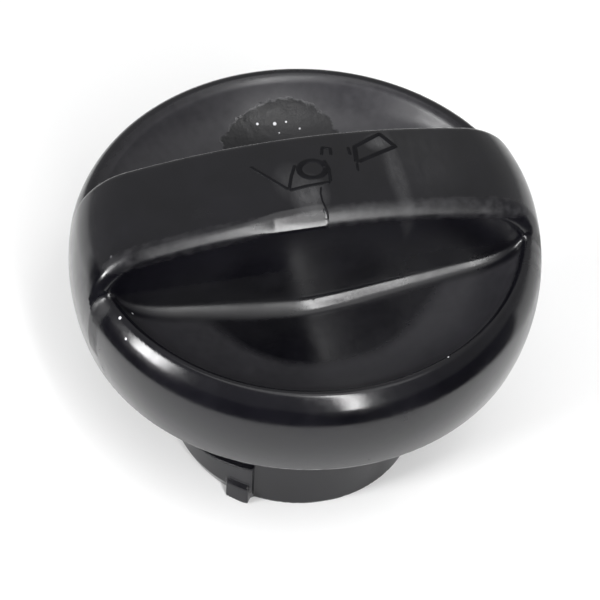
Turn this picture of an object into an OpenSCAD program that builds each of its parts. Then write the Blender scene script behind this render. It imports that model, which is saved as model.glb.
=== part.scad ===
// Oil filler cap: a round knob with an arched grip bar between two finger pockets, on a
// short hollow neck with two bayonet lugs, and the rubber sealing ring round the neck's root.
// The cap stands on its neck. The origin is at the middle of the neck's lower rim, +Z is up
// and the grip bar runs along X.

/* [Knob] */
// Widest diameter of the knob
knob_d = 62; // [58:0.5:72]
// How far the skirt's foot draws in from the widest line
foot_inset = 1; // [0.6:0.1:1.6]
// Height of the widest line above the skirt's foot
belly_h = 7; // [5.5:0.25:8.5]
// Radius of the shoulder that rolls from the skirt to the lip
shoulder_r = 6.5; // [5.5:0.25:7.5]
// Angle above the level at which the shoulder begins
shoulder_from = 6; // [3:1:10]
// Angle above the level at which the shoulder ends in the lip
shoulder_to = 39; // [34:1:46]
// Radius of the rounded lip
lip_r = 0.8; // [0.5:0.1:1.2]
// Wall thickness of the moulding
wall = 2; // [1.6:0.1:2.6]

/* [Finger pockets] */
// Height of the pocket floor above the skirt's foot
floor_h = 5.5; // [5:0.25:7]
// Radius of the level middle of the pocket floor
floor_r = 17.5; // [15:0.5:19]
// Radius in which the floor rises towards the ends of the bar
trough_r = 89; // [75:1:120]
// Radius of the fillet along the foot of the bar
fillet_r = 2; // [1:0.25:2.5]

/* [Grip bar] */
// Width of the bar
bar_w = 15; // [13:0.25:17]
// Height of the bar's crown above the skirt's foot
bar_h = 22.6; // [19:0.1:25]
// Radius of the arch along the bar's top
arch_r = 110; // [95:5:140]
// Radius in which the bar's ends roll down into the skirt
bar_end_r = 8.5; // [7:0.5:11]
// Radius of the rounding along the bar's upper edges
bar_edge_r = 1.3; // [0.6:0.1:2]

/* [Neck] */
// Outer diameter of the neck
neck_d = 33; // [30:0.2:35]
// Drop of the neck below the skirt's foot
neck_drop = 25; // [20:0.5:30]
// Depth of the groove round the neck's root that holds the ring
groove_depth = 0.6; // [0.4:0.1:0.9]

/* [Bayonet lugs] */
// How far a lug stands out from the neck
lug_out = 1; // [0.8:0.1:1.8]
// Height in which a lug slopes out from the neck's rim to its full width
lug_lead = 2; // [1:0.25:2.5]
// Height of a lug at its middle
lug_h = 5.5; // [4.5:0.25:7]
// Angle that a lug spans round the neck
lug_span = 52; // [40:1:60]
// Direction of a lug's stop end, measured from +X
lug_stop = 237; // [215:1:250]
// Slope of the ramp on top of a lug
ramp_slope = 12; // [6:1:15]
// How far the lead-in foot stands out from its lug
toe_out = 0.6; // [0.4:0.1:1]
// Height of the lead-in foot
toe_h = 3.4; // [2.5:0.1:4]
// Angle that the lead-in foot spans
toe_span = 11; // [8:1:14]
// Angle between the foot and its lug's stop end
toe_in = 1; // [0.5:0.5:3]

/* [Sealing ring] */
// Height of the ring
seal_h = 2.6; // [2:0.1:3]
// Width of the ring's face
seal_w = 4.8; // [4:0.1:5.5]
// Clearance between the ring and its groove
seal_gap = 0.1; // [0.05:0.05:0.2]

/* [Ribs] */
// Thickness of the ribs under the knob
rib_t = 1.3; // [1:0.1:1.8]
// Angle between neighbouring ribs on each side of the bar
rib_step = 50; // [40:1:56]
// How far the ribs stay above the skirt's foot
rib_rise = 1; // [0.5:0.25:2]

/* [Hidden] */
// Faces round a full turn on large and on small arcs
turn_fn = 96;
arc_fn = 48;

// Height of the skirt's foot, with the neck's rim at zero
foot_z = neck_drop;
knob_r = knob_d / 2;
neck_r = neck_d / 2;
bore_r = neck_r - wall;
half_bar = bar_w / 2;
// Where two arcs run into each other the smaller one stands out by this much, so they cross in a
// clean point, and the sectors they are drawn with overlap by an angle
rise = 0.005;
lap = 12;
// Radius and centre of the skirt's bulge, which passes through foot and widest line
bulge_r = (belly_h * belly_h + foot_inset * foot_inset) / (2 * foot_inset);
bulge_c = [knob_r - bulge_r, belly_h];
// The shoulder's arc runs on from the bulge, and the lip's arc from the shoulder
shoulder_c = bulge_c + (bulge_r + rise - shoulder_r) * ray(shoulder_from);
lip_c = shoulder_c + (shoulder_r + rise - lip_r) * ray(shoulder_to);
// The bowl's level bottom lies just under the trough, and its wall runs into the lip
trough_step = 0.15;
bowl_h = floor_h - trough_step;
bowl_dx = lip_c[0] - floor_r;
bowl_dz = lip_c[1] - bowl_h + rise;
bowl_r = (bowl_dx * bowl_dx + bowl_dz * bowl_dz - pow(lip_r - rise, 2)) / (2 * (bowl_dz + lip_r - rise));
bowl_c = [floor_r, bowl_h - rise + bowl_r];
// Underside of the pocket floor, which is also the seat of the sealing ring
seat_h = bowl_h - wall;
// The ring's top stays just under the seat
seal_top = seat_h - 2 * rise;
seal_r = neck_r - groove_depth + seal_gap;
seal_out = seal_r + seal_w;
// The bar's crown ends in a small level disc, and its ends roll down a little inside the skirt
crown_drop = 0.04;
arch_c = [0, bar_h + crown_drop - arch_r];
roll_sink = 0.12;
end_c = meet(arch_c, arch_r + rise - bar_end_r, bulge_c, bulge_r - roll_sink + rise - bar_end_r);
arch_half = atan2(end_c[0] - arch_c[0], end_c[1] - arch_c[1]);
roll_from = atan2(end_c[1] - bulge_c[1], end_c[0] - bulge_c[0]);
// The roundings of the bar's edges stand out over both the crown and the start of its roll
edge_rise = 4 * rise;
// The ring's lower inner edge is eased, so that its face begins clear of the neck
seal_clear = 0.3;
seal_edge = neck_r - seal_r + seal_clear;
// Height from which the bar is rooted in the skirt's wall
root_h = wall / 2;
// Free land between the ring and what stands round it
seat_land = 1;
// Ribs start outside the ring and end inside the skirt's wall
rib_in = seal_out + seat_land;
rib_out = knob_r - foot_inset - wall / 2;
// The bar's outer hollows keep clear of the seat
core_in = seal_out + seat_land;
core_out = knob_r - 2 * wall;
// The middle hollow keeps its corners a little inside the bore
core_room = 0.3;
core_mid = sqrt(bore_r * bore_r - (half_bar - wall) * (half_bar - wall)) - core_room;
// How far the fillet's root reaches into the bar's wall
fillet_in = 0.5;
// A lug's ramp is cut at its middle, and the lugs lie opposite each other
lug_mid = lug_stop - lug_span / 2;

// Unit vector at an angle above the level
function ray(a) = [cos(a), sin(a)];
// The right-hand crossing of two circles
function meet(p, rp, q, rq) =
    let (d = norm(q - p), u = (q - p) / d, a = (rp * rp - rq * rq + d * d) / (2 * d))
    let (h = sqrt(rp * rp - a * a))
    p + a * u + h * [u[1], -u[0]] * (u[1] > 0 ? 1 : -1);

// Sector of a circle between two angles, for outlines made of tangent arcs
module sector(c, r, from, to) {
    reach = 2 * r;
    mid = (from + to) / 2;
    translate(c) intersection() {
        circle(r, $fn = turn_fn);
        polygon([[0, 0], reach * ray(from), reach * ray(mid), reach * ray(to)]);
    }
}

// Filled half outline of the skirt and its shoulder from a height up, drawn inwards by an inset
module skirt_outline(inset, foot) {
    foot_a = asin(-belly_h / bulge_r);
    intersection() {
        union() {
            sector(bulge_c, bulge_r - inset, foot_a - lap, shoulder_from);
            sector(shoulder_c, shoulder_r - inset, shoulder_from - lap, shoulder_to + lap);
            translate([0, foot - wall]) square([shoulder_c[0], lip_c[1] - foot + wall]);
        }
        translate([0, foot]) square([knob_d, bar_h]);
    }
}

// Filled half section of the knob: skirt, shoulder, lip, bowl wall and floor
module knob_section() {
    clear = 4 * lip_r;
    lip_side = (bowl_c - lip_c) / norm(bowl_c - lip_c);
    difference() {
        skirt_outline(0, 0);
        translate([-knob_r, bowl_h]) square([knob_r + bowl_c[0], bar_h]);
        translate(bowl_c) circle(bowl_r, $fn = 2 * turn_fn);
        polygon([lip_c, lip_c + clear * ray(shoulder_to), lip_c + [0, 2 * clear], lip_c + clear * lip_side]);
    }
    translate(lip_c) circle(lip_r, $fn = arc_fn);
}

// Half section of the hollow under the knob, one wall inside the skirt and the bowl
module under_section() {
    difference() {
        skirt_outline(wall, -wall);
        translate(bowl_c) circle(bowl_r + wall, $fn = 2 * turn_fn);
        translate([-wall, seat_h]) square([bowl_c[0] + wall, bar_h]);
    }
}

module knob_filled() {
    rotate_extrude($fn = turn_fn) knob_section();
}

// Round envelope of the bar, rooted in the skirt's wall, rolled at its rim and domed on top. The small
// circle covers the point where the arcs' sectors meet
module envelope(inset) {
    rotate_extrude($fn = turn_fn) intersection() {
        union() {
            sector(arch_c, arch_r - inset, 90 - arch_half, 90);
            sector(end_c, bar_end_r - inset, roll_from - lap, 90 - arch_half + lap);
            sector(bulge_c, bulge_r - roll_sink - inset, -lap, roll_from);
            translate(end_c) circle(wall, $fn = arc_fn);
            square([rib_out - inset, belly_h - wall]);
        }
        translate([0, root_h]) square([knob_r, bar_h - inset - root_h]);
    }
}

// Round blank between two heights
module disc(r, from, to) {
    rotate_extrude($fn = turn_fn) translate([0, from]) square([r, to - from]);
}

// Turns a profile drawn as [radius, width] about a line that runs along Y
module turn_about_y(centre, from, sweep) {
    translate([centre[0], 0, centre[1]])
        rotate([90, 0, 0])
            rotate([0, 0, from])
                rotate_extrude(angle = sweep, $fn = 4 * turn_fn)
                    children();
}

// Pocket floor that rises towards the bar's ends, with the fillet along the bar's foot
module trough() {
    half = asin((knob_r - wall / 2) / trough_r);
    clip_r = knob_r - wall * 0.75;
    intersection() {
        turn_about_y([0, floor_h + trough_r], 270 - half, 2 * half) {
            translate([trough_r, -knob_r]) square([wall, knob_d]);
            for (side = [-1, 1]) difference() {
                translate([trough_r - fillet_r, side * half_bar - (side < 0 ? fillet_r - rise : fillet_in)])
                    square([fillet_r + wall / 2, fillet_r - rise + fillet_in]);
                translate([trough_r - fillet_r + rise, side * (half_bar + fillet_r - rise)])
                    circle(fillet_r, $fn = arc_fn);
            }
        }
        disc(clip_r, 0, bar_h);
    }
}

// Section across the bar as [radius, width], open at the top, with its upper edges rounded
module bar_profile(from, to, half, edge) {
    mid = half - edge + rise;
    level = sqrt((to - edge) * (to - edge) - mid * mid) + edge_rise;
    translate([from, -half]) square([level - from, 2 * half]);
    translate([from, -mid]) square([to + wall - from, 2 * mid]);
    for (side = [-1, 1])
        translate([level, side * mid]) circle(edge, $fn = arc_fn);
}

// The arched bar, which reaches down into the floor
module bar() {
    reach = asin((knob_r + wall) / (arch_r - bar_h));
    intersection() {
        turn_about_y(arch_c, 90 - reach, 2 * reach)
            bar_profile(-arch_c[1], arch_r, half_bar, bar_edge_r);
        envelope(0);
    }
}

// Hollows inside the bar: one over the neck's bore and one towards each end
module bar_cores() {
    core_w = bar_w - 2 * wall;
    intersection() {
        envelope(wall);
        union() {
            translate([-core_mid, -core_w / 2, 0]) cube([2 * core_mid, core_w, bar_h]);
            for (side = [0, 1]) mirror([side, 0, 0])
                translate([core_in, -core_w / 2, 0]) cube([core_out - core_in, core_w, bar_h]);
        }
    }
}

// Stiffening ribs under the knob, from outside the ring to the skirt, none across the bar
module ribs() {
    intersection() {
        translate([0, 0, -wall / 2]) knob_filled();
        for (side = [0, 180], step = [-1:1]) rotate([0, 0, side + 90 + step * rib_step])
            translate([rib_in, -rib_t / 2, rib_rise]) cube([rib_out - rib_in, rib_t, bar_h]);
    }
}

module knob() {
    difference() {
        union() {
            knob_filled();
            trough();
            bar();
        }
        rotate_extrude($fn = turn_fn) under_section();
        bar_cores();
    }
    ribs();
}

// Hollow neck with the ring's groove at its root
module neck() {
    rotate_extrude($fn = turn_fn) difference() {
        translate([bore_r, 0]) square([wall, foot_z + seat_h + wall / 2]);
        translate([neck_r - groove_depth, foot_z + seal_top - seal_h]) square([wall, seal_h + seat_h - seal_top]);
    }
}

// Bayonet lug with a sloping ramp on top and a lead-in foot at its stop end
module lug() {
    root = wall / 2;
    rotate([0, 0, lug_mid]) {
        difference() {
            rotate([0, 0, -lug_span / 2]) rotate_extrude(angle = lug_span, $fn = turn_fn)
                lug_section(root);
            translate([0, 0, lug_h]) rotate([ramp_slope, 0, 0])
                translate([0, -knob_r, 0]) cube([knob_r, 2 * knob_r, lug_h * 2]);
        }
        rotate([0, 0, lug_span / 2 - toe_in - toe_span]) rotate_extrude(angle = toe_span, $fn = turn_fn)
            translate([neck_r - root, 0]) lug_toe();
    }
}

// Section of a lug, which starts a little proud of the neck's rim
module lug_section(root) {
    low = lug_out / 5;
    translate([neck_r, 0])
        polygon([[-root, 0], [low, 0], [lug_out, lug_lead], [lug_out, lug_h * 2], [-root, lug_h * 2]]);
}

// Section of the lead-in foot, with its outer edges chamfered
module lug_toe() {
    out = wall / 2 + lug_out + toe_out;
    edge = toe_out / 2;
    polygon([[0, 0], [out - edge, 0], [out, edge], [out, toe_h - edge], [out - edge, toe_h], [0, toe_h]]);
}

module cap_body() {
    color("#1b1c1f") {
        translate([0, 0, foot_z]) knob();
        neck();
        for (turn = [0, 180]) rotate([0, 0, turn]) lug();
    }
}

module sealing_ring() {
    color("#2a2a2a")
        translate([0, 0, foot_z + seal_top - seal_h])
            rotate_extrude($fn = turn_fn)
                translate([seal_r, 0])
                    polygon([[0, seal_edge], [seal_edge, 0], [seal_w, 0], [seal_w, seal_h], [0, seal_h]]);
}

cap_body();
sealing_ring();
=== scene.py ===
import math

import bpy
import numpy as np
from mathutils import Matrix, Vector


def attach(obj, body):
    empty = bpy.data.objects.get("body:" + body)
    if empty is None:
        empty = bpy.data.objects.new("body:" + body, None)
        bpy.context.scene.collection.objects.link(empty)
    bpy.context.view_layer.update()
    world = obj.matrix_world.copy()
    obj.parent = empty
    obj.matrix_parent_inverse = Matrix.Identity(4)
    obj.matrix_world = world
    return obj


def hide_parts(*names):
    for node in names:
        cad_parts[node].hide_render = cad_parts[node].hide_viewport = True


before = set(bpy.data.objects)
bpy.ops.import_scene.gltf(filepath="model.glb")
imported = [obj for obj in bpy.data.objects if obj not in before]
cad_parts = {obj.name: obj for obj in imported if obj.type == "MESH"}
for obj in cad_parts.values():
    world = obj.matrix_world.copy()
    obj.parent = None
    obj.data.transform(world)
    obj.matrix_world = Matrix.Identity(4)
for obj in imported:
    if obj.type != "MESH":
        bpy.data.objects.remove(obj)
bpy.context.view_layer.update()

# Sizes of the cap in millimetres, the same as those of the construction. The knob's heights are
# above the skirt's foot, and those of the neck and its lugs are above the neck's rim
MM = 0.001
FOOT_Z = 25.0
KNOB_R = 31.0
FOOT_INSET = 1.0
BELLY_H = 7.0
SHOULDER_R = 6.5
SHOULDER_FROM = math.radians(6)
SHOULDER_TO = math.radians(39)
LIP_R = 0.8
WALL = 2.0
FLOOR_H = 5.5
FLOOR_R = 17.5
TROUGH_STEP = 0.15
BAR_W = 15.0
BAR_H = 22.6
BAR_DRAFT = math.tan(math.radians(1.0))
ARCH_R = 110.0
BAR_END_R = 8.5
BAR_EDGE_R = 1.3
NECK_R = 16.5
GROOVE = 0.6
SEAL_H = 2.6
SEAL_OUT = 20.8
SEAT_LAND = 1.0
LUG_OUT = 1.0
LUG_LOW = 0.2
LUG_LEAD = 2.0
LUG_H = 5.5
LUG_SPAN = math.radians(52)
LUG_STOP = math.radians(237)
RAMP_SLOPE = math.radians(12)
TOE_OUT = 0.6
TOE_H = 3.4
TOE_SPAN = math.radians(11)
TOE_IN = math.radians(1)
RIB_T = 1.3
RIB_ANGLES = [40, 90, 140, 220, 270, 320]
RIB_RISE = 1.0

# Softness that the plain arcs lack: a wider lip, widest at the rear, and a gentler wall
SOFT_LIP_R = 1.2
REAR_LIP = 0.9
REAR_LIP_Y = 12.0
SOFT_FLOOR_R = 15.0
FLOOR_DROP = 0.3
SOFT_FLOOR = 2.4
# The pockets' floor climbs both ways from a soft bend, which lies a little to one side
CLIMB_FROM = 5.95
CLIMB = 0.176
CLIMB_SOFT = 0.4
CLIMB_SHIFT = 2.0
# The fillet at the bar's foot narrows with height, towards the pocket's corners
SOFT_FILLET_R = 2.2
PINCH_FROM = 7.5
PINCH_TO = 12.5
PINCH_R = 0.6
# The bar's front edge is rounder from its left end inwards, and its rear edge is sharper
FRONT_EDGE_R = 1.8
FRONT_EDGE_X = -14.0
FRONT_EDGE_RUN = 8.0
REAR_EDGE_R = 0.9
# Beside the mould mark the front edge is pressed flat, fading out to the left
FACET_FROM, FACET_TO = -6.0, 0.5
FACET_SLOPE = math.radians(56)
FACET_Y = -5.3
FACET_FADE = 14.0
FACET_STOP = 0.5
FACET_EDGE = 0.3
# Small edges of the foot, the underside, the lugs and the neck's rim
FOOT_EDGE = 0.35
INNER_EDGE = 0.3
LUG_EDGE = 0.25
RIM_EDGE = 0.2


def ray(angle):
    return np.array([math.cos(angle), math.sin(angle)])


def circles_meet(p, rp, q, rq):
    """The outer crossing of two circles."""
    gap = np.linalg.norm(q - p)
    u = (q - p) / gap
    along = (rp**2 - rq**2 + gap**2) / (2 * gap)
    side = math.copysign(math.sqrt(rp**2 - along**2), u[1])
    return p + along * u + side * np.array([u[1], -u[0]])


# Sizes worked out from those above, by the same tangent arcs
HALF_BAR = BAR_W / 2
BORE_R = NECK_R - WALL
BULGE_R = (BELLY_H**2 + FOOT_INSET**2) / (2 * FOOT_INSET)
BULGE_C = np.array([KNOB_R - BULGE_R, BELLY_H])
SHOULDER_C = BULGE_C + (BULGE_R - SHOULDER_R) * ray(SHOULDER_FROM)
LIP_C = SHOULDER_C + (SHOULDER_R - LIP_R) * ray(SHOULDER_TO)
BOWL_H = FLOOR_H - TROUGH_STEP
SEAT_H = BOWL_H - WALL
ARCH_C = np.array([0.0, BAR_H - ARCH_R])
END_C = circles_meet(ARCH_C, ARCH_R - BAR_END_R, BULGE_C, BULGE_R - BAR_END_R)
ARCH_HALF = math.atan2(*(END_C - ARCH_C))
ROLL_FROM = math.atan2(*(END_C - BULGE_C)[::-1])


# Signed distances: below zero inside the plastic, in millimetres
def round_join(a, b, r):
    """Union of two solids with a concave fillet."""
    return np.maximum(r, np.minimum(a, b)) - np.hypot(np.maximum(r - a, 0), np.maximum(r - b, 0))


def round_cut(a, b, r):
    """What two solids share, with a rounded edge."""
    return np.minimum(-r, np.maximum(a, b)) + np.hypot(np.maximum(r + a, 0), np.maximum(r + b, 0))


def soft_join(a, b, k):
    """Union of two solids that run into each other without an edge."""
    t = np.clip(0.5 + 0.5 * (b - a) / k, 0, 1)
    return b + (a - b) * t - k * t * (1 - t)


def ramp(value, start, run):
    """Rises from nought to one over a run that begins at the start."""
    return np.clip((value - start) / run, 0, 1)


def skirt(r, z):
    """Skirt and shoulder, as tangent arcs about the axis."""
    bulge = np.hypot(r - BULGE_C[0], z - BULGE_C[1]) - BULGE_R
    shoulder = np.hypot(np.maximum(r - SHOULDER_C[0], 0), z - SHOULDER_C[1]) - SHOULDER_R
    above = np.arctan2(z - BULGE_C[1], r - BULGE_C[0]) > SHOULDER_FROM
    return np.where(above, shoulder, bulge)


def bowl(r, z, floor_r, lip_r):
    """Everything below the bowl's level bottom and its wall, which rises into the lip."""
    dx, dz = SHOULDER_C + (SHOULDER_R - lip_r) * ray(SHOULDER_TO) - np.array([floor_r, BOWL_H])
    bowl_r = (dx**2 + dz**2 - lip_r**2) / (2 * (dz + lip_r))
    wall = bowl_r - np.hypot(r - floor_r, z - BOWL_H - bowl_r)
    return np.where(r < floor_r, z - BOWL_H, wall)


def trough(x, y, z):
    """Everything below the floor, which climbs towards both of the bar's ends."""
    along = x + np.where(y < 0, CLIMB_SHIFT, -CLIMB_SHIFT)
    height = CLIMB_FROM + np.hypot(CLIMB * along, CLIMB_SOFT)
    return (z - height) / math.hypot(1, CLIMB)


def envelope(r, z):
    """The round blank of the whole cap: skirt, the bar's rolled ends and its crown."""
    crown = np.hypot(r, z - ARCH_C[1]) - ARCH_R
    roll = np.hypot(r - END_C[0], z - END_C[1]) - BAR_END_R
    bulge = np.hypot(r - BULGE_C[0], z - BULGE_C[1]) - BULGE_R
    top = np.arctan2(r, z - ARCH_C[1]) < ARCH_HALF
    low = np.arctan2(z - BULGE_C[1], r - BULGE_C[0]) < ROLL_FROM
    return np.where(top, crown, np.where(low, bulge, roll))


def grip_bar(x, y, z, r):
    """The bar across the knob, with its rounded upper edges and the flat that the mould pressed."""
    side = np.abs(y) - HALF_BAR - (BAR_H - z) * BAR_DRAFT
    front_r = BAR_EDGE_R + (FRONT_EDGE_R - BAR_EDGE_R) * ramp(x, FRONT_EDGE_X, FRONT_EDGE_RUN)
    bar = round_cut(envelope(r, z), side, np.where(y < 0, front_r, REAR_EDGE_R))
    facet = (FACET_Y - y) * math.cos(FACET_SLOPE) + (z - BAR_H) * math.sin(FACET_SLOPE)
    facet -= ramp(-x, -FACET_FROM, FACET_FADE) + ramp(x, FACET_TO, FACET_STOP)
    return round_cut(bar, facet, FACET_EDGE)


def underside(x, y, z, r):
    """The hollow below the pockets and the one inside the bar, which the neck's wall parts."""
    hollow = np.maximum(skirt(r, z), bowl(r, z, FLOOR_R, LIP_R)) + WALL
    core_half = HALF_BAR - WALL
    core_mid = math.sqrt(BORE_R**2 - core_half**2) - INNER_EDGE
    ends = np.minimum(np.abs(x) - core_mid, SEAL_OUT + SEAT_LAND - np.abs(x))
    core = np.maximum(round_cut(envelope(r, z) + WALL, np.abs(y) - core_half, FOOT_EDGE), ends)
    return np.minimum(hollow, core)


def rib(x, y, z, r, angle):
    """One stiffening rib under the knob, from the seat's land out to the skirt."""
    c, s = ray(math.radians(angle))
    across = np.abs(y * c - x * s) - RIB_T / 2
    along = np.maximum(SEAL_OUT + SEAT_LAND - (x * c + y * s), RIB_RISE - z)
    under = np.maximum(skirt(r, z), bowl(r, z, FLOOR_R, LIP_R))
    return np.maximum(np.maximum(across, along), under + WALL / 2)


def knob_field(x, y, z):
    """The whole knob, with its hollow underside, above the skirt's foot."""
    r = np.hypot(x, y)
    dish = bowl(r, z + FLOOR_DROP, SOFT_FLOOR_R, SOFT_LIP_R)
    floor = soft_join(dish, trough(x, y, z), SOFT_FLOOR)
    body = round_cut(skirt(r, z), floor, SOFT_LIP_R + REAR_LIP * ramp(y, 0, REAR_LIP_Y))
    pinch = ramp(z, PINCH_FROM, PINCH_TO - PINCH_FROM)
    body = round_join(body, grip_bar(x, y, z, r), SOFT_FILLET_R + (PINCH_R - SOFT_FILLET_R) * pinch)
    body = np.maximum(body, envelope(r, z))
    body = round_cut(body, -z, FOOT_EDGE)
    body = round_cut(body, -underside(x, y, z, r), INNER_EDGE)
    for angle in RIB_ANGLES:
        body = round_join(body, rib(x, y, z, r, angle), INNER_EDGE)
    return body


def lug_field(r, angle, z):
    """One bayonet lug with its sloping ramp and its lead-in foot."""
    half = LUG_SPAN / 2
    turn = (angle - LUG_STOP + half + math.pi) % (2 * math.pi) - math.pi
    lead = LUG_LOW + (LUG_OUT - LUG_LOW) * ramp(z, 0, LUG_LEAD)
    radial = np.maximum(r - NECK_R - lead, NECK_R - WALL / 2 - r)
    top = (z - LUG_H - r * np.sin(turn) * math.tan(RAMP_SLOPE)) * math.cos(RAMP_SLOPE)
    ends = (np.abs(turn) - half) * r
    body = round_cut(round_cut(radial, top, LUG_EDGE), ends, LUG_EDGE)
    toe_half = TOE_SPAN / 2
    toe_turn = turn - half + TOE_IN + toe_half
    out = LUG_OUT + TOE_OUT
    toe = round_cut(np.maximum(r - NECK_R - out, NECK_R - WALL / 2 - r), z - TOE_H, TOE_OUT)
    toe = round_cut(toe, (np.abs(toe_turn) - toe_half) * r, LUG_EDGE)
    return round_join(body, toe, LUG_EDGE)


def neck_field(x, y, z):
    """The hollow neck with its groove and lugs, from its rim up into the knob."""
    r = np.hypot(x, y)
    angle = np.arctan2(y, x)
    groove_from = FOOT_Z + SEAT_H - SEAL_H
    outer = r - NECK_R + np.where((z > groove_from) & (z < groove_from + SEAL_H), GROOVE, 0)
    tube = np.maximum(np.maximum(outer, BORE_R - r), z - FOOT_Z - SEAT_H - WALL / 2)
    lugs = np.minimum(lug_field(r, angle, z), lug_field(r, angle + math.pi, z))
    return round_cut(round_join(tube, lugs, LUG_EDGE), -z, RIM_EDGE)


# A skin over a signed distance, with its points pulled onto the true surface. The grid's steps, and
# the room left round a solid, are in millimetres
KNOB_STEP = 0.44
NECK_STEP = 0.34
ROOM = 1.5
SLOPE_REACH = 0.02
LEAST_SLOPE = 0.25
TINY = 1e-6
PULLS = 4


def slope(field, p):
    """The field's slope at some points, by differences."""
    out = np.empty_like(p)
    for a in range(3):
        step = np.zeros(3)
        step[a] = SLOPE_REACH
        out[:, a] = (field(*(p + step).T) - field(*(p - step).T)) / (2 * SLOPE_REACH)
    return out


def skin_points(value):
    """The middle of the crossings in each cell that the surface passes, and those cells' numbers."""
    cells = tuple(n - 1 for n in value.shape)
    total = np.zeros(cells)
    where = np.zeros(cells + (3,))
    grid = np.indices(cells).transpose(1, 2, 3, 0).astype(float)
    for a in range(3):
        b, c = (a + 1) % 3, (a + 2) % 3
        for ub, uc in ((0, 0), (0, 1), (1, 0), (1, 1)):
            take0, take1 = [None] * 3, [None] * 3
            take0[a], take1[a] = slice(0, cells[a]), slice(1, cells[a] + 1)
            for axis, u in ((b, ub), (c, uc)):
                take0[axis] = take1[axis] = slice(u, cells[axis] + u)
            v0, v1 = value[tuple(take0)], value[tuple(take1)]
            cross = (v0 < 0) != (v1 < 0)
            share = np.where(cross, v0 / np.where(cross, v0 - v1, 1), 0)
            total += cross
            spot = np.zeros(3)
            spot[b], spot[c] = ub, uc
            where += np.where(cross[..., None], grid + spot, 0)
            where[..., a] += share
    mixed = total > 0
    number = np.full(cells, -1)
    number[mixed] = np.arange(mixed.sum())
    return where[mixed] / total[mixed][:, None], number


def skin_faces(inside, number):
    """A face for each grid edge that the surface crosses, through the four cells round it."""
    quads = []
    for a in range(3):
        order = (a, (a + 1) % 3, (a + 2) % 3)
        m, n = inside.transpose(order), number.transpose(order)
        change = (m[:-1] != m[1:])[:, 1:-1, 1:-1]
        i, j, k = np.nonzero(change)
        ring = [n[i, j, k], n[i, j + 1, k], n[i, j + 1, k + 1], n[i, j, k + 1]]
        quad = np.stack(ring, 1)
        out = m[i, j + 1, k + 1]
        quads.append(np.where(out[:, None], quad, quad[:, ::-1]))
    return np.concatenate(quads)


def add_mesh(name, verts, faces, smooth=True):
    """Adds an object with a mesh of its own to the scene."""
    mesh = bpy.data.meshes.new(name)
    mesh.from_pydata(verts, [], faces)
    mesh.polygons.foreach_set("use_smooth", [smooth] * len(mesh.polygons))
    piece = bpy.data.objects.new(name, mesh)
    bpy.context.scene.collection.objects.link(piece)
    return piece


def skin(name, field, low, high, step, lift=0.0):
    """Makes a mesh of the field's zero surface on a grid of that step."""
    axes = [np.arange(a, b + step, step) for a, b in zip(low, high)]
    value = field(*np.meshgrid(*axes, indexing="ij"))
    middles, number = skin_points(value)
    points = middles * step + np.array([ax[0] for ax in axes])
    quads = skin_faces(value < 0, number)
    for _ in range(PULLS):
        g = slope(field, points)
        move = (field(*points.T) / np.maximum((g**2).sum(1), LEAST_SLOPE))[:, None] * g
        points -= np.clip(move, -step / 2, step / 2)
    g = slope(field, points)
    normals = g / np.maximum(np.linalg.norm(g, axis=1), TINY)[:, None]
    piece = add_mesh(name, ((points + [0, 0, lift]) * MM).tolist(), quads.tolist())
    piece.data.normals_split_custom_set_from_vertices(normals.tolist())
    print(name, len(quads) * 2, "triangles")
    return piece


# Signs on the bar's crown and the mould mark beside them: polylines of x and y, each with its width
OIL_CAN = [
    ([(-7.2, 3.0), (-5.2, 0.4), (-3.2, -2.1)], 0.5),
    ([(-3.2, -2.2), (-1.0, -1.9), (2.3, -1.7)], 0.6),
    ([(2.3, -1.7), (2.6, 0.6), (2.3, 2.3)], 0.5),
    ([(-3.2, -2.1), (-2.4, 0.2), (-1.5, 2.1)], 0.5),
    ([(2.2, 3.1), (2.6, 4.6), (3.6, 4.2), (3.4, 2.9)], 0.5),
]
BOOK = [
    ([(6.4, 1.2), (12.1, 3.6), (10.6, 6.2), (6.8, 4.1), (6.4, 1.2)], 0.75),
    ([(5.9, 4.2), (5.9, 2.6)], 0.5),
    ([(6.4, 1.2), (6.2, -0.4)], 0.4),
]
MOULD_MARK = [
    ([(0.9, -2.3), (0.6, -3.4), (0.55, -4.6), (0.7, -5.9), (0.8, -6.7), (0.8, -7.3)], 0.26),
]
# The can's round body: middle, half width, half depth as a share of it, and the ring's stroke
CAN_X, CAN_Y = 0.5, 0.9
CAN_R = 1.7
CAN_DEPTH = 0.9
CAN_STROKE = 0.9
CAN_POINTS = 40
# Strokes: their height, how far their sides sink in, their ends' share of the width, and their grid
STROKE_H = 0.10
STROKE_SINK = 0.05
STROKE_END = 0.3
STROKE_STEP = 0.2
STROKE_RAYS = 9
# The crown is looked for between the bar's hollow and a height above the bar
ABOVE_HOLLOW = 0.2
ABOVE_BAR = 1.0
HALVINGS = 26


def top_z(x, y):
    """Height of the bar's upper surface, found by halving."""
    low = np.full(np.shape(x), BAR_H - WALL + ABOVE_HOLLOW)
    high = np.full(np.shape(x), BAR_H + ABOVE_BAR)
    for _ in range(HALVINGS):
        mid = (low + high) / 2
        solid = knob_field(x, y, mid) < 0
        low, high = np.where(solid, mid, low), np.where(solid, high, mid)
    return low


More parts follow.
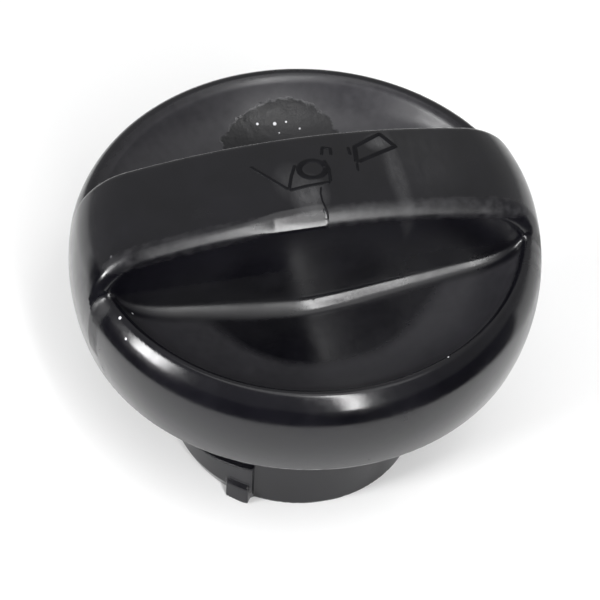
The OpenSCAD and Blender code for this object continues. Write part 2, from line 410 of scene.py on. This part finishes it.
def stroke(points, width, verts, faces):
    """A low rounded ridge along a polyline on the cap's upper surface."""
    points = np.array(points, float)
    fine = [points[0]]
    for a, b in zip(points, points[1:]):
        steps = max(2, int(np.linalg.norm(b - a) / STROKE_STEP))
        fine += [a + (b - a) * (i + 1) / steps for i in range(steps)]
    fine = np.array(fine)
    run = np.gradient(fine, axis=0)
    run /= np.linalg.norm(run, axis=1)[:, None]
    side = np.stack([-run[:, 1], run[:, 0]], 1)
    across = np.linspace(-1, 1, STROKE_RAYS)
    end = np.ones(len(fine))
    end[[0, -1]] = STROKE_END
    spot = fine[:, None] + side[:, None] * (across * width / 2)[None, :, None] * end[:, None, None]
    height = top_z(spot[..., 0], spot[..., 1]) - STROKE_SINK
    height += (STROKE_H + STROKE_SINK) * end[:, None] * np.sqrt(1 - across**2)
    first = len(verts)
    verts += np.concatenate([spot, height[..., None]], 2).reshape(-1, 3).tolist()
    for i in range(len(fine) - 1):
        for k in range(STROKE_RAYS - 1):
            a = first + i * STROKE_RAYS + k
            faces.append((a, a + STROKE_RAYS, a + STROKE_RAYS + 1, a + 1))


def signs():
    """The oil can, the book and the mould mark as one piece."""
    verts, faces = [], []
    for points, width in OIL_CAN + BOOK + MOULD_MARK:
        stroke(points, width, verts, faces)
    turn = np.linspace(0, 2 * math.pi, CAN_POINTS)
    ring = np.stack([CAN_X + CAN_R * np.cos(turn), CAN_Y + CAN_DEPTH * CAN_R * np.sin(turn)], 1)
    stroke(ring, CAN_STROKE, verts, faces)
    return add_mesh("signs", [(a * MM, b * MM, (c + FOOT_Z) * MM) for a, b, c in verts], faces)


# Zones of the plastic's finish, as ranges in millimetres over which they fade in or out
ABOVE_FOOT = 4.0, 5.0
BELOW_RIM = 12.6, 13.4
LIP_FADE = 0.6
# The pockets' outer part is rougher, and is also painted a lighter grey as a painted sheen of reflected
# light
DULL_FROM, DULL_TO = 17.2, 19.0
DULL_WOBBLE = 1.5
OFF_BAR = HALF_BAR + 1.5, HALF_BAR + 2.5
# Towards the rear the painted sheen grows from half to full strength over this range of y
REAR = 8.0, 12.0
# The dark patch in the rear pocket: its middle, its top, how fast the arch falls, and its rough edge
PATCH_X = 1.3
PATCH_TOP = 10.5
PATCH_FALL = 0.038
PATCH_ROUGH = 0.5
PATCH_FADE = -0.15, 0.2
PATCH_REAR = 14.0, 16.0
# The scuffed front edge: its depth below the crown, its reach from the front, and the gap in it
EDGE_DEPTH = 1.6, 2.2
EDGE_FRONT = -5.9, -5.4
EDGE_LEFT = FACET_FROM - 7.0, FACET_FROM + 2.0
EDGE_RIGHT = FACET_TO, FACET_TO + 0.3
# The fillet at the bar's front foot, which is dull at its left and, less so, at its right
FILLET_FRONT = -10.2, -9.4
FILLET_BACK = -7.7, -7.3
FILLET_TOP = 13.0, 14.0
FILLET_LEFT = -9.0, -2.0
FILLET_RIGHT = 7.0, 13.0
FILLET_RIGHT_DULL = 0.55
# Single bright specks, painted glints, as x, y, z and radius
GLINT_SPOTS = [
    (-1.4, 24.0, 8.3, 0.16), (1.0, 23.8, 8.1, 0.2), (2.6, 23.8, 8.2, 0.12), (4.3, 22.7, 7.6, 0.18),
    (1.4, 22.6, 7.4, 0.14), (-2.4, 22.5, 7.4, 0.16), (-1.7, 22.5, 7.4, 0.13), (-0.6, 22.5, 7.3, 0.12),
    (-26.3, -14.1, 12.4, 0.12), (-24.4, -8.9, 11.2, 0.22), (-26.6, -11.5, 13.5, 0.15),
    (12.3, -25.4, 13.5, 0.1), (15.3, -19.5, 9.4, 0.13), (25.3, -8.3, 12.7, 0.25),
    (21.8, -8.1, 11.1, 0.1), (0.2, -14.3, 6.2, 0.1), (-0.9, -14.3, 6.2, 0.1),
]
GLINT_FADE = 0.5
# How much of the white of the painted glints the faint dust has
DUST_SHARE = 0.35
# Lighter smudges on the crown, partly painted highlights: centre, reach in x and y, and how light
SMUDGE_AND_HIGHLIGHT_SPOTS = [
    ((-0.9, -3.2), (0.9, 1.2), 0.65), ((11.1, -0.7), (0.5, 3.2), 0.4), ((10.2, 4.6), (0.7, 0.6), 0.7),
    ((-2.6, -0.8), (0.8, 1.2), 0.3), ((15.0, 1.0), (2.0, 3.0), 0.12),
]
SMUDGE_HIGHLIGHT_DEPTH = 3.0
SMUDGE_HIGHLIGHT_FADE = 2.2

# Colours: the plastic's two blacks, the films on it (a painted sheen, smudges that are partly painted
# highlights, and scuff), the white of its dust and painted glints, its marks, and the rubber with its
# dust
BLACK_LOW = 0.0020, 0.0019, 0.0032, 1
BLACK_HIGH = 0.0042, 0.0040, 0.0062, 1
PAINTED_SHEEN_GREY = 0.040, 0.039, 0.044, 1
SMUDGE_AND_HIGHLIGHT_GREY = 0.085, 0.085, 0.088, 1
SCUFF_FILM = 0.045, 0.044, 0.048, 1
DUST_AND_GLINT_WHITE = 0.86, 0.86, 0.9, 1
MARK_LOW = 0.001, 0.001, 0.0015, 1
MARK_HIGH = 0.008, 0.008, 0.010, 1
RUBBER_BLACK = 0.014, 0.014, 0.015, 1
RUBBER_DUST = 0.045, 0.043, 0.041, 1
PLASTIC_IOR = 1.5
MARK_SPECULAR = 0.12


class Graph:
    """Short names for building a material's nodes; lengths are in millimetres from the skirt's foot."""

    def __init__(self, name):
        self.mat = bpy.data.materials.new(name)
        self.mat.use_nodes = True
        self.nodes, self.links = self.mat.node_tree.nodes, self.mat.node_tree.links
        self.shader = self.nodes["Principled BSDF"]
        self.place = self.nodes.new("ShaderNodeTexCoord").outputs["Object"]
        scaled = self.vector("MULTIPLY", self.place, [1 / MM] * 3)
        self.spot = self.vector("SUBTRACT", scaled, [0, 0, FOOT_Z])
        parts = self.nodes.new("ShaderNodeSeparateXYZ")
        self.put(parts.inputs[0], self.spot)
        self.x, self.y, self.z = (parts.outputs[a] for a in "XYZ")

    def put(self, socket, value):
        if isinstance(value, bpy.types.NodeSocket):
            self.links.new(value, socket)
        else:
            socket.default_value = value

    def vector(self, kind, a, b=None, out="Vector"):
        node = self.nodes.new("ShaderNodeVectorMath")
        node.operation = kind
        self.put(node.inputs[0], a)
        if b is not None:
            self.put(node.inputs[1], b)
        return node.outputs[out]

    def noise(self, scale, detail=3.0, rough=0.5, stretch=None):
        node = self.nodes.new("ShaderNodeTexNoise")
        place = self.vector("MULTIPLY", self.place, stretch) if stretch else self.place
        self.put(node.inputs["Vector"], place)
        self.put(node.inputs["Scale"], scale)
        self.put(node.inputs["Detail"], detail)
        self.put(node.inputs["Roughness"], rough)
        return node.outputs["Fac"]

    def cells(self, scale):
        node = self.nodes.new("ShaderNodeTexVoronoi")
        self.put(node.inputs["Vector"], self.place)
        self.put(node.inputs["Scale"], scale)
        return node.outputs["Distance"]

    def span(self, value, from_low, from_high, to_low=0.0, to_high=1.0):
        node = self.nodes.new("ShaderNodeMapRange")
        for name, item in (("Value", value), ("From Min", from_low), ("From Max", from_high),
                           ("To Min", to_low), ("To Max", to_high)):
            self.put(node.inputs[name], item)
        return node.outputs["Result"]

    def fall(self, value, from_low, from_high):
        """One below the range and nothing above it."""
        return self.span(value, from_low, from_high, 1.0, 0.0)

    def math(self, kind, a, b=0.0):
        node = self.nodes.new("ShaderNodeMath")
        node.operation = kind
        self.put(node.inputs[0], a)
        self.put(node.inputs[1], b)
        return node.outputs["Value"]

    def times(self, first, *others):
        for other in others:
            first = self.math("MULTIPLY", first, other)
        return first

    def blend(self, share, a, b):
        node = self.nodes.new("ShaderNodeMix")
        node.data_type = "RGBA"
        self.put(node.inputs["Factor"], share)
        self.put([i for i in node.inputs if i.name == "A" and i.type == "RGBA"][0], a)
        self.put([i for i in node.inputs if i.name == "B" and i.type == "RGBA"][0], b)
        return [o for o in node.outputs if o.type == "RGBA"][0]

    def bump(self, height, depth, strength=1.0, onto=None):
        node = self.nodes.new("ShaderNodeBump")
        self.put(node.inputs["Height"], height)
        self.put(node.inputs["Distance"], depth * MM)
        self.put(node.inputs["Strength"], strength)
        if onto is not None:
            self.put(node.inputs["Normal"], onto)
        return node.outputs["Normal"]

    def near(self, centre, radii, fade):
        """One inside an ellipsoid, fading to nothing outside it by a share of its size."""
        away = self.vector("SUBTRACT", self.spot, centre)
        away = self.vector("MULTIPLY", away, [1 / r for r in radii])
        return self.fall(self.vector("LENGTH", away, out="Value"), 1.0, 1.0 + fade)

    def flat_square(self):
        """The distance from the axis, squared."""
        return self.math("ADD", self.times(self.x, self.x), self.times(self.y, self.y))

    def flat(self):
        return self.math("POWER", self.flat_square(), 0.5)

    def inside_lip(self):
        return self.fall(self.flat(), LIP_C[0] - LIP_FADE, LIP_C[0])

    def dull_and_sheen_zone(self):
        """One in the outer part of the pockets, which is less polished than their middle, and where a
        lighter sheen is painted.
        """
        wobble = self.span(self.noise(110, detail=2), 0.0, 1.0, -DULL_WOBBLE, DULL_WOBBLE)
        out = self.span(self.math("ADD", self.flat(), wobble), DULL_FROM, DULL_TO)
        off_bar = self.span(self.math("ABSOLUTE", self.y), *OFF_BAR)
        return self.times(out, self.fall(self.z, *BELOW_RIM), self.inside_lip(), off_bar,
                          self.span(self.z, *ABOVE_FOOT))

    def rear_patch(self):
        """One in the dark rough patch of the rear pocket, under an uneven arch."""
        across = self.math("SUBTRACT", self.x, PATCH_X)
        top = self.math("SUBTRACT", PATCH_TOP, self.times(across, across, PATCH_FALL))
        uneven = self.span(self.noise(420, rough=0.6), 0.3, 0.7, -PATCH_ROUGH, PATCH_ROUGH)
        depth = self.math("ADD", self.math("SUBTRACT", top, self.z), uneven)
        return self.times(self.span(depth, *PATCH_FADE), self.span(self.y, *PATCH_REAR),
                          self.inside_lip(), self.span(self.z, *ABOVE_FOOT))

    def worn_edge(self):
        """One along the bar's upper front edge, apart from the flat that the mould pressed."""
        drop = self.math("MULTIPLY", self.flat_square(), 1 / (2 * ARCH_R))
        depth = self.math("SUBTRACT", BAR_H, self.math("ADD", self.z, drop))
        edge = self.times(self.fall(depth, *EDGE_DEPTH), self.fall(self.y, *EDGE_FRONT))
        left, right = self.fall(self.x, *EDGE_LEFT), self.span(self.x, *EDGE_RIGHT)
        return self.times(edge, self.math("MAXIMUM", left, right))

    def dull_fillet(self):
        """One along the fillet at the bar's front foot, apart from its polished middle."""
        foot = self.times(self.span(self.y, *FILLET_FRONT), self.fall(self.y, *FILLET_BACK),
                          self.fall(self.z, *FILLET_TOP), self.span(self.z, *ABOVE_FOOT))
        left = self.fall(self.x, *FILLET_LEFT)
        right = self.span(self.x, *FILLET_RIGHT, 0.0, FILLET_RIGHT_DULL)
        return self.times(foot, self.math("MAXIMUM", left, right))

    def smudges_and_highlights(self):
        """Lighter scuffs on the crown, partly painted highlights, broken up by noise."""
        total = 0.0
        for (x, y), (rx, ry), amount in SMUDGE_AND_HIGHLIGHT_SPOTS:
            here = self.near((x, y, BAR_H), (rx, ry, SMUDGE_HIGHLIGHT_DEPTH), SMUDGE_HIGHLIGHT_FADE)
            total = self.math("MAXIMUM", total, self.times(here, amount))
        streaks = self.noise(700, detail=4, rough=0.65, stretch=(1.8, 0.6, 1.0))
        return self.times(total, self.span(streaks, 0.3, 0.7, 0.45, 1.0))

    def dust_and_glints(self):
        """Faint dust all over, and single painted glints at the listed points."""
        grains = self.fall(self.cells(300), 0.055, 0.09)
        total = self.times(grains, self.span(self.noise(150, detail=2), 0.62, 0.68), DUST_SHARE)
        for x, y, z, r in GLINT_SPOTS:
            total = self.math("MAXIMUM", total, self.near((x, y, z), (r, r, r), GLINT_FADE))
        return total


def plastic():
    """Glossy black moulded plastic: slightly wavy, mottled and lightly scuffed, with dust, a painted
    sheen in the pockets, painted highlights on the crown and painted glints.
    """
    g = Graph("black_plastic")
    mottle = g.noise(130, detail=4, rough=0.6)
    fine_noise = g.noise(900, detail=2)
    wear = g.noise(60, detail=5, rough=0.65, stretch=(1.0, 2.6, 1.0))
    patch, edge, smudge_and_highlight = g.rear_patch(), g.worn_edge(), g.smudges_and_highlights()
    dull_and_sheen = g.times(g.dull_and_sheen_zone(), g.fall(patch, 0.0, 1.0))
    # Painted sheen: a lighter grey painted over the pockets' outer part, stronger towards the rear,
    # standing in for reflected light
    painted_sheen = g.times(dull_and_sheen, g.span(g.y, *REAR, 0.5, 1.0), g.span(fine_noise, 0.3, 0.75, 0.75, 1.0))
    colour = g.blend(g.span(mottle, 0.35, 0.7), BLACK_LOW, BLACK_HIGH)
    colour = g.blend(painted_sheen, colour, PAINTED_SHEEN_GREY)
    # Lighter smudges on the crown, partly painted highlights
    colour = g.blend(smudge_and_highlight, colour, SMUDGE_AND_HIGHLIGHT_GREY)
    colour = g.blend(g.times(edge, g.span(fine_noise, 0.4, 0.65), 0.25), colour, SCUFF_FILM)
    # Faint dust, and painted glints in white
    g.put(g.shader.inputs["Base Color"], g.blend(g.dust_and_glints(), colour, DUST_AND_GLINT_WHITE))
    rough = g.span(mottle, 0.3, 0.75, 0.12, 0.22)
    for zone, more in ((dull_and_sheen, 0.2), (edge, 0.17), (smudge_and_highlight, 0.2), (g.dull_fillet(), 0.22), (patch, 0.3)):
        rough = g.math("ADD", rough, g.times(zone, more))
    for pattern, low, high, more in ((wear, 0.55, 0.75, 0.14), (fine_noise, 0.3, 0.8, 0.06)):
        rough = g.math("ADD", rough, g.span(pattern, low, high, 0.0, more))
    g.put(g.shader.inputs["Roughness"], rough)
    g.put(g.shader.inputs["IOR"], PLASTIC_IOR)
    wave = g.bump(g.noise(75, detail=2), depth=0.10, strength=0.6)
    grain = g.bump(g.noise(1100, detail=2, rough=0.6), depth=0.012, strength=0.5, onto=wave)
    scratches = g.times(g.noise(2600, detail=3, rough=0.6, stretch=(0.25, 1.0, 1.0)), edge)
    scuff = g.bump(scratches, depth=0.016, strength=0.6, onto=grain)
    crinkle = g.times(g.noise(560, detail=3, rough=0.6), patch)
    g.put(g.shader.inputs["Normal"], g.bump(crinkle, depth=0.13, strength=0.9, onto=scuff))
    return g.mat


def marks_finish():
    """The dull dark finish of the moulded signs."""
    g = Graph("black_marks")
    g.put(g.shader.inputs["Base Color"], g.blend(g.noise(400), MARK_LOW, MARK_HIGH))
    g.put(g.shader.inputs["Roughness"], g.span(g.noise(900, detail=2), 0.3, 0.7, 0.35, 0.6))
    g.put(g.shader.inputs["Specular IOR Level"], MARK_SPECULAR)
    g.put(g.shader.inputs["Normal"], g.bump(g.noise(1600, detail=2), depth=0.01, strength=0.5))
    return g.mat


def rubber():
    """Matt black rubber with fine grain and a little dust."""
    g = Graph("seal_rubber")
    dust = g.span(g.noise(220, detail=5, rough=0.6), 0.5, 0.75)
    g.put(g.shader.inputs["Base Color"], g.blend(dust, RUBBER_BLACK, RUBBER_DUST))
    g.put(g.shader.inputs["Roughness"], g.span(dust, 0.0, 1.0, 0.55, 0.8))
    g.put(g.shader.inputs["Normal"], g.bump(g.noise(1500), depth=0.02, strength=0.6))
    return g.mat


# The pieces
PLASTIC = plastic()
wide = KNOB_R + ROOM
knob = skin("knob", knob_field, (-wide, -wide, -ROOM), (wide, wide, BAR_H + ROOM), KNOB_STEP, FOOT_Z)
reach = NECK_R + LUG_OUT + TOE_OUT + ROOM
neck_top = FOOT_Z + SEAT_H + ROOM
neck = skin("neck", neck_field, (-reach, -reach, -ROOM), (reach, reach, neck_top), NECK_STEP)
marks = signs()
for piece, finish in ((knob, PLASTIC), (neck, PLASTIC), (marks, marks_finish())):
    piece.data.materials.append(finish)
    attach(piece, "root")
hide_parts("cap_body")
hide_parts("cap_body")
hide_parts("cap_body")
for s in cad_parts["sealing_ring"].material_slots:
    s.material = rubber()

# Camera: the photograph's, fitted to the cap's outlines. It looks at the axis at the skirt's foot
CAM_AZIMUTH = math.radians(-15.2)
CAM_ELEVATION = math.radians(48.55)
CAM_ROLL = math.radians(3.47)
CAM_DISTANCE = 0.350
CAM_NEAR = 0.01
SENSOR = 36
PHOTO = 600
PX_PER_MM = 7.49
AXIS_X, AXIS_Y = 302.98, 292.08


def add_camera():
    """The photograph's camera."""
    ca, sa = math.cos(CAM_AZIMUTH), math.sin(CAM_AZIMUTH)
    ce, se = math.cos(CAM_ELEVATION), math.sin(CAM_ELEVATION)
    back = Vector((sa * ce, -ca * ce, se))
    right = Vector((ca, sa, 0))
    up = back.cross(right)
    cr, sr = math.cos(CAM_ROLL), math.sin(CAM_ROLL)
    x, y = right * cr + up * sr, up * cr - right * sr
    data = bpy.data.cameras.new("camera")
    data.sensor_width = SENSOR
    data.lens = PX_PER_MM / MM * CAM_DISTANCE / PHOTO * data.sensor_width
    data.shift_x = (PHOTO / 2 - AXIS_X) / PHOTO
    data.shift_y = (AXIS_Y - PHOTO / 2) / PHOTO
    data.clip_start = CAM_NEAR
    cam = bpy.data.objects.new("camera", data)
    bpy.context.scene.collection.objects.link(cam)
    spot = Vector((0, 0, FOOT_Z * MM)) + back * CAM_DISTANCE
    cam.matrix_world = Matrix.Translation(spot) @ Matrix((x, y, back)).transposed().to_4x4()
    bpy.context.scene.camera = cam


# Lamps: azimuth and elevation in degrees, distance, width and height in metres, and power
LAMPS = {
    "front_lamp": (8, 35, 0.6, (0.085, 0.80), 4.6),
    "left_lamp": (-80, 14, 0.6, (0.16, 0.26), 3.8),
    "top_lamp": (20, 84, 0.9, (0.7, 0.7), 2.0),
}
# Light of the room towards the front and the back, and where along that way it changes
FRONT_LIGHT = 0.24
BACK_LIGHT = 0.48
LIGHT_FROM, LIGHT_TO = -0.7, 0.6
# The card's radius, its lower and upper edge in millimetres, and its ends in degrees from the front
CARD_R = 78.0
CARD_LOW, CARD_HIGH = 1.0, 40.0
CARD_FROM, CARD_TO = -110, 75
CARD_POINTS = 65
CARD_BLACK = 0.01, 0.01, 0.01, 1
FLOOR_SIZE = 6
FLOOR_WHITE = 0.92, 0.92, 0.92, 1
FLOOR_ROUGH = 0.9


def area_light(name, azimuth, elevation, far, size, power):
    """A soft lamp that looks at the cap from a direction; azimuth zero is the front."""
    az, el = math.radians(azimuth), math.radians(elevation)
    out = Vector((math.sin(az) * math.cos(el), -math.cos(az) * math.cos(el), math.sin(el)))
    data = bpy.data.lights.new(name, "AREA")
    data.shape = "RECTANGLE"
    data.size, data.size_y = size
    data.energy = power
    lamp = bpy.data.objects.new(name, data)
    bpy.context.scene.collection.objects.link(lamp)
    lamp.location = Vector((0, 0, FOOT_Z * MM)) + out * far
    lamp.rotation_euler = out.to_track_quat("Z", "Y").to_euler()


def studio_world():
    """A plain room, dimmer towards the front and brighter behind the cap."""
    world = bpy.data.worlds.new("studio")
    world.use_nodes = True
    nodes, links = world.node_tree.nodes, world.node_tree.links
    place = nodes.new("ShaderNodeTexCoord")
    split = nodes.new("ShaderNodeSeparateXYZ")
    span = nodes.new("ShaderNodeMapRange")
    for name, value in (("From Min", LIGHT_FROM), ("From Max", LIGHT_TO),
                        ("To Min", FRONT_LIGHT), ("To Max", BACK_LIGHT)):
        span.inputs[name].default_value = value
    links.new(place.outputs["Generated"], split.inputs[0])
    links.new(split.outputs["Y"], span.inputs["Value"])
    links.new(span.outputs["Result"], nodes["Background"].inputs["Strength"])
    nodes["Background"].inputs["Color"].default_value = (1, 1, 1, 1)
    bpy.context.scene.world = world


def plain_material(name):
    """A new material and its shader."""
    mat = bpy.data.materials.new(name)
    mat.use_nodes = True
    return mat, mat.node_tree.nodes["Principled BSDF"]


def dark_card():
    """A low dark card bent round the front of the cap, seen only in its gloss."""
    turn = np.radians(np.linspace(CARD_FROM, CARD_TO, CARD_POINTS))
    radius = CARD_R * MM
    verts = [(radius * math.sin(t), -radius * math.cos(t), h * MM)
             for h in (CARD_LOW, CARD_HIGH) for t in turn]
    n = len(turn)
    faces = [(i, i + 1, n + i + 1, n + i) for i in range(n - 1)]
    card = add_mesh("dark_card", verts, faces, smooth=False)
    mat, shader = plain_material("dark_card")
    shader.inputs["Base Color"].default_value = CARD_BLACK
    card.data.materials.append(mat)
    card.visible_camera = card.visible_diffuse = card.visible_shadow = False


def add_stage():
    """Floor, room, card and lamps."""
    bpy.ops.mesh.primitive_plane_add(size=FLOOR_SIZE, location=(0, 0, 0))
    floor = bpy.context.object
    floor.name = "floor"
    mat, shader = plain_material("pale_floor")
    shader.inputs["Base Color"].default_value = FLOOR_WHITE
    shader.inputs["Roughness"].default_value = FLOOR_ROUGH
    floor.data.materials.append(mat)
    studio_world()
    dark_card()
    for name, settings in LAMPS.items():
        area_light(name, *settings)
    bpy.context.scene.view_settings.view_transform = "Standard"


add_camera()
add_stage()
